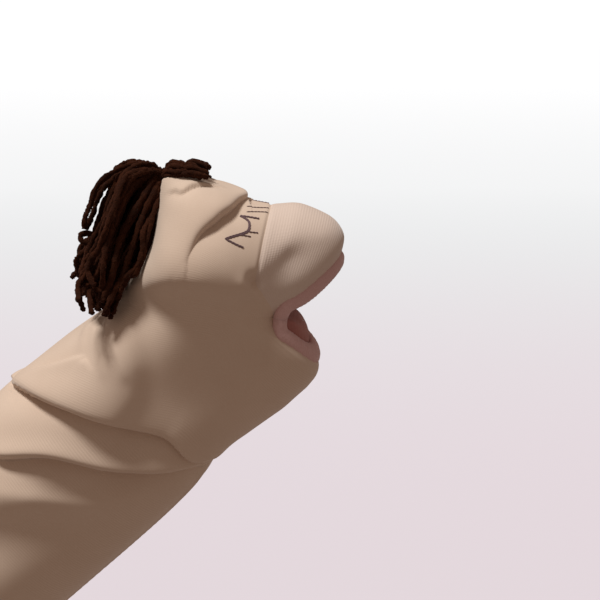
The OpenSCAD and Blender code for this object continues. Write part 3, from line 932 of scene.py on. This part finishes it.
def make_hair():
    back = [yarn(route) for route in hank_strands()] + [yarn(at_knot(route), wobble=0.5) for route in STRAYS]
    back = many_tubes("hair_hank", [to_arm(rings) for rings in back], HAIR_YARN)
    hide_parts("hair_back")
    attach(back, "hair_back")
    front = [yarn(at_knot(route), wobble=0.5) for route in fringe_loops()]
    front.append(yarn(at_knot([(22, -6, 4), (25, -7, 2), (28, -8, 0)]), radius=0.7, wobble=0.1))
    front = many_tubes("hair_front", [to_arm(rings) for rings in front], HAIR_YARN)
    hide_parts("hair_fringe")
    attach(front, "hair_fringe")
    wraps = []
    for k in range(4):
        turn = np.linspace(0, 2 * math.pi * 0.98, 12)
        lean = 0.35 * (k - 1.5)
        ring = [(4.0 * math.sin(lean) + 1.6 * (k - 1.5), 3.6 * math.cos(a), 3.4 * math.sin(a)) for a in turn]
        wraps.append(yarn(at_knot(ring), radius=1.5, wobble=0.2))
    wraps.append(yarn(at_knot([(0, 0, -8), (0, 0, -3), (0, 0, 3)]), radius=3.2, wobble=0.1))
    knot = many_tubes("hair_tie", [to_arm(rings) for rings in wraps], HAIR_YARN)
    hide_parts("hair_knot")
    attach(knot, "head")


# ---------------------------------------------------------------- cuff hem
CUFF_DEPTH = 20.0
STITCH_ROWS = (14.5, 17.0)
HEM_INSIDE = 55.2
HEM_THICK = 2.7


def make_hem():
    """The cuff: cloth folded under and held by two rows of stitches."""
    turn = np.linspace(0, 2 * math.pi, 240, endpoint=False)
    outline = []
    for a in np.linspace(math.pi / 2, 3 * math.pi / 2, 9):
        outline.append((1.3 + 1.3 * math.cos(a), HEM_THICK / 2 + HEM_THICK / 2 * math.sin(a)))
    outline += [(t, 0.0) for t in np.linspace(3, CUFF_DEPTH - 0.3, 12)]
    outline += [(t, HEM_THICK) for t in np.linspace(CUFF_DEPTH - 0.3, 2.5, 40)]
    outline = np.array(outline)
    groove = sum(np.exp(-((outline[:, 0] - row) / 0.55) ** 2) for row in STITCH_ROWS)
    pull = np.where(outline[:, 1] > HEM_THICK * 0.9, groove * 0.55, 0)
    ripple = 0.22 * np.sin(turn * 90)[:, None] * np.where(outline[:, 1] > HEM_THICK * 0.9, 1,
                                                          0) * (1 - groove)
    radius = HEM_INSIDE + outline[None, :, 1] - pull[None] + np.minimum(ripple, 0.2)
    rings = np.stack([np.broadcast_to(outline[None, :, 0], radius.shape), -radius * np.sin(turn)[:, None],
                      radius * np.cos(turn)[:, None]], -1)
    rows, columns = rings.shape[:2]
    i, k = np.meshgrid(np.arange(rows), np.arange(columns), indexing="ij")
    a, b = i * columns + k, i * columns + (k + 1) % columns
    c, d = ((i + 1) % rows) * columns + (k + 1) % columns, ((i + 1) % rows) * columns + k
    hem = mesh_object("cuff_band", to_row(rings.reshape(-1, 3)), np.stack([a, d, c, b], -1).reshape(-1, 4),
                      KNIT)
    lay_uv(hem, np.stack([np.repeat(turn, columns) * HEM_INSIDE, np.tile(outline.sum(1), rows)], -1) * MM)
    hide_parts("cuff_hem")
    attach(hem, "sleeve")
    stitches = []
    for row in STITCH_ROWS:
        for centre in np.linspace(0, 2 * math.pi, 128, endpoint=False):
            a = centre + np.linspace(-1, 1, 7) * 1.05 / HEM_INSIDE
            high = HEM_INSIDE + HEM_THICK - 0.35 + 0.35 * np.cos(np.linspace(-1, 1, 7) * 1.4)
            middle = np.stack([np.full(7, row), -high * np.sin(a), high * np.cos(a)], -1)
            side = np.array([1.0, 0, 0])
            up = np.stack([np.zeros(7), -np.sin(a), np.cos(a)], -1)
            b = np.linspace(0, 2 * math.pi, 6, endpoint=False)
            stitches.append(middle[:, None] + 0.3 * (side * np.cos(b)[None, :, None]
                                                    + up[:, None] * np.sin(b)[None, :, None]))
    thread = many_tubes("cuff_stitches", stitches, HEM_THREAD)
    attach(thread, "sleeve")
    return hem, thread


# ---------------------------------------------------------------- padding
def crowned_pad(name, low, high, depth, thickness, way=1, mirror=False):
    """A stuffed pad that follows the cloth from inside, full in the middle and thin at its seams."""
    def outline(path):
        path = np.array(path, float)
        if mirror == "top":
            path = np.concatenate([path[:0:-1] * [1, -1], path])
        if mirror == "chin":
            path = np.concatenate([path, path[-2::-1] * [1, -1] + [0, 360]])
        return smooth_rows(path, np.linspace(0, len(path) - 1, 61))
    s = np.linspace(0, 1, 31)[:, None, None]
    uv = outline(low)[None] * (1 - s) + outline(high)[None] * s
    u, v = uv[..., 0], uv[..., 1] * way
    across = np.linspace(0, 1, 61)[None, :]
    crown = (np.sin(np.pi * s[..., 0]) ** 0.45) * (np.sin(np.pi * across) ** 0.35)
    out = outward(u, v)
    lumps = 0.5 * np.sin(u * 5 + v * 0.23) * np.sin(v * 0.31 - u * 3)
    outer = folded(u, v) - out * (depth + 1.5 * (1 - crown))[..., None]
    inner = outer - out * (0.3 + (thickness - 0.8 + lumps) * crown)[..., None]
    rows, columns = u.shape
    faces = grid_faces(rows, columns)
    every = np.concatenate([faces, faces[:, ::-1] + rows * columns, border_walls(faces, rows * columns)])
    if way < 0:
        every = every[:, ::-1]
    pad = mesh_object(name, to_row(np.concatenate([outer.reshape(-1, 3), inner.reshape(-1, 3)])), every,
                      FIBRE)
    return pad


PAD_DEPTH = 1.6


def make_padding():
    forehead = crowned_pad("forehead_pad", [(9, 0), (8.8, 28), (8.75, 50)],
                           [(11.1, 0), (10.6, 28), (9.4, 50)],
                           PAD_DEPTH, 9, mirror="top")
    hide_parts("forehead_stuffing")
    snout = crowned_pad("snout_pad", [(12.2, 0), (12.2, 30), (12.2, 62)], [(15.2, 0), (15.2, 30), (15.2, 66)],
                        PAD_DEPTH, 6, mirror="top")
    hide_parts("snout_stuffing")
    cheeks = [crowned_pad(side + "_cheek_pad", [(8.9, 63), (8.9, 86)], [(11.6, 70), (14.2, 84)], PAD_DEPTH,
                          5, way)
              for side, way in (("right", 1), ("left", -1))]
    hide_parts("cheek_right_stuffing")
    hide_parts("cheek_left_stuffing")
    for pad in [forehead, snout] + cheeks:
        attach(pad, "head")
    chin = crowned_pad("chin_pad", [(14, 136), (13, 154), (11.4, 180)],
                       [(15.2, 136), (15.2, 154), (15.1, 180)],
                       PAD_DEPTH, 3, mirror="chin")
    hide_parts("chin_stuffing")
    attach(chin, "jaw")
    return [forehead, snout, chin] + cheeks


# ---------------------------------------------------------------- pockets and boards
GAPE = math.radians(96.5)


def jaw_axes(points, lower):
    """Points in a jaw's own axes, forward, across and away from the mouth, as points in the arm's axes."""
    x, y, z = points[..., 0], points[..., 1], points[..., 2]
    if lower:
        x, z = x * math.cos(GAPE) - z * math.sin(GAPE), -x * math.sin(GAPE) - z * math.cos(GAPE)
    return np.stack([x + HINGE_ARM[0], y, z + HINGE_ARM[2]], -1)


def make_pocket(name, node_name, body, start, length, half_w, height, floor, lower):
    """A hand pocket: cotton sewn into an arch, closed at the front and open at the wrist."""
    x = np.concatenate([np.linspace(0, 0.9, 25), 0.9 + 0.1 * np.sin(np.linspace(0.1, 1, 12) * math.pi / 2)])
    close = np.concatenate([np.ones(25), np.cos(np.linspace(0.1, 1, 12) * math.pi / 2)])
    a = np.linspace(0, math.pi, 41)
    arch = np.stack([half_w * np.cos(a), height * np.sin(a) ** 0.6], -1)
    base = np.stack([np.linspace(-half_w, half_w, 20)[1:-1], np.zeros(18)], -1)
    section = np.concatenate([arch, base])
    middle = np.array([0, height * 0.4])
    wrinkle = 1 - 0.02 * np.sin(x * 17)[:, None] * np.sin(np.linspace(0, math.pi, len(section)))[None]
    around = middle + (section[None] - middle) * (close[:, None] * wrinkle)[..., None]
    points = np.stack([np.broadcast_to((start + x * length)[:, None], around.shape[:2]), around[..., 0],
                       floor + around[..., 1]], -1)
    rows, columns = points.shape[:2]
    faces = grid_faces(rows, columns + 1)
    joined = faces - faces // (columns + 1)
    joined = np.where(faces % (columns + 1) == columns, faces // (columns + 1) * columns, joined)
    pocket = mesh_object(name, to_row(jaw_axes(points.reshape(-1, 3), lower)), joined, POCKET_CLOTH)
    lay_uv(pocket, np.stack([points[..., 1] + points[..., 2], points[..., 0]], -1).reshape(-1, 2) * MM)
    wall = pocket.modifiers.new("thickness", "SOLIDIFY")
    wall.thickness = 1.0 * MM
    wall.offset = 0
    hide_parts(node_name)
    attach(pocket, body)
    return pocket


def make_inside():
    pockets = [make_pocket("finger_pocket_cloth", "finger_pocket", "head", -4, 35, 23.5, 19.5, 4.3, False),
               make_pocket("thumb_pocket_cloth", "thumb_pocket", "jaw", 7, 19, 14.5, 14.5, 4.3, True)]
    for board in ("palate_plate", "jaw_plate"):
        plate = bpy.data.objects[board]
        for slot in plate.material_slots:
            slot.material = BOARD
    return pockets


# ---------------------------------------------------------------- studio
PAPER = [(0.0, "#d3ced7"), (0.06, "#d5d0da"), (0.13, "#d8dfe5"), (0.2, "#e2e9ef"), (0.4, "#eff6fc"),
         (1.0, "#f2f8ff")]
PAPER_SIZE = 120
PAPER_AT = (0, 40, -0.34)
FADE_FRONT = -39.3
FADE_BACK = -23.0


def make_floor():
    """A sheet of pale paper that runs far back, shaded from pale rose in front to white."""
    bpy.ops.mesh.primitive_plane_add(size=PAPER_SIZE, location=PAPER_AT)
    floor = bpy.context.object
    floor.name = "floor"
    material, tree, shader = new_material("graduated_background_paper", 0.95, specular=0.0)
    where = node(tree, "ShaderNodeTexCoord")
    apart = node(tree, "ShaderNodeSeparateXYZ", links={"Vector": where.outputs["Object"]})
    fade = node(tree, "ShaderNodeMapRange", {"From Min": FADE_FRONT, "From Max": FADE_BACK},
                {"Value": apart.outputs["Y"]})
    ramp = node(tree, "ShaderNodeValToRGB", links={"Fac": fade.outputs["Result"]})
    ramp.color_ramp.interpolation = "B_SPLINE"
    ramp.color_ramp.elements[0].color = linear(PAPER[0][1])
    ramp.color_ramp.elements[1].color = linear(PAPER[-1][1])
    for place, colour in PAPER[1:-1]:
        ramp.color_ramp.elements.new(place).color = linear(colour)
    tree.links.new(ramp.outputs["Color"], shader.inputs["Base Color"])
    floor.data.materials.append(material)
    floor.visible_diffuse = False


KEY_FROM = (-0.32, -0.12, 0.94)
KEY_ENERGY = 3.05
KEY_SPREAD = math.radians(14)
KEY_COLOUR = (1.0, 0.985, 0.96)
WORLD_STRENGTH = 0.27


def light_studio():
    """One broad soft lamp above and behind the puppet's left shoulder, and warm light from all round."""
    data = bpy.data.lights.new("key_light", "SUN")
    data.energy = KEY_ENERGY
    data.angle = KEY_SPREAD
    data.color = KEY_COLOUR
    key = bpy.data.objects.new("key_light", data)
    bpy.context.scene.collection.objects.link(key)
    key.rotation_euler = to_track(KEY_FROM)
    world = bpy.data.worlds.new("studio")
    bpy.context.scene.world = world
    world.use_nodes = True
    background = world.node_tree.nodes["Background"]
    background.inputs["Color"].default_value = linear("#ffe3d2")
    background.inputs["Strength"].default_value = WORLD_STRENGTH
    bpy.context.scene.view_settings.view_transform = "Standard"


add_camera()
light_studio()
make_floor()
CLOTH = make_cloth()
LININGS = make_mouth()
EYES = make_eyes()
make_hair()
HEM = make_hem()
PADS = make_padding()
POCKETS = make_inside()
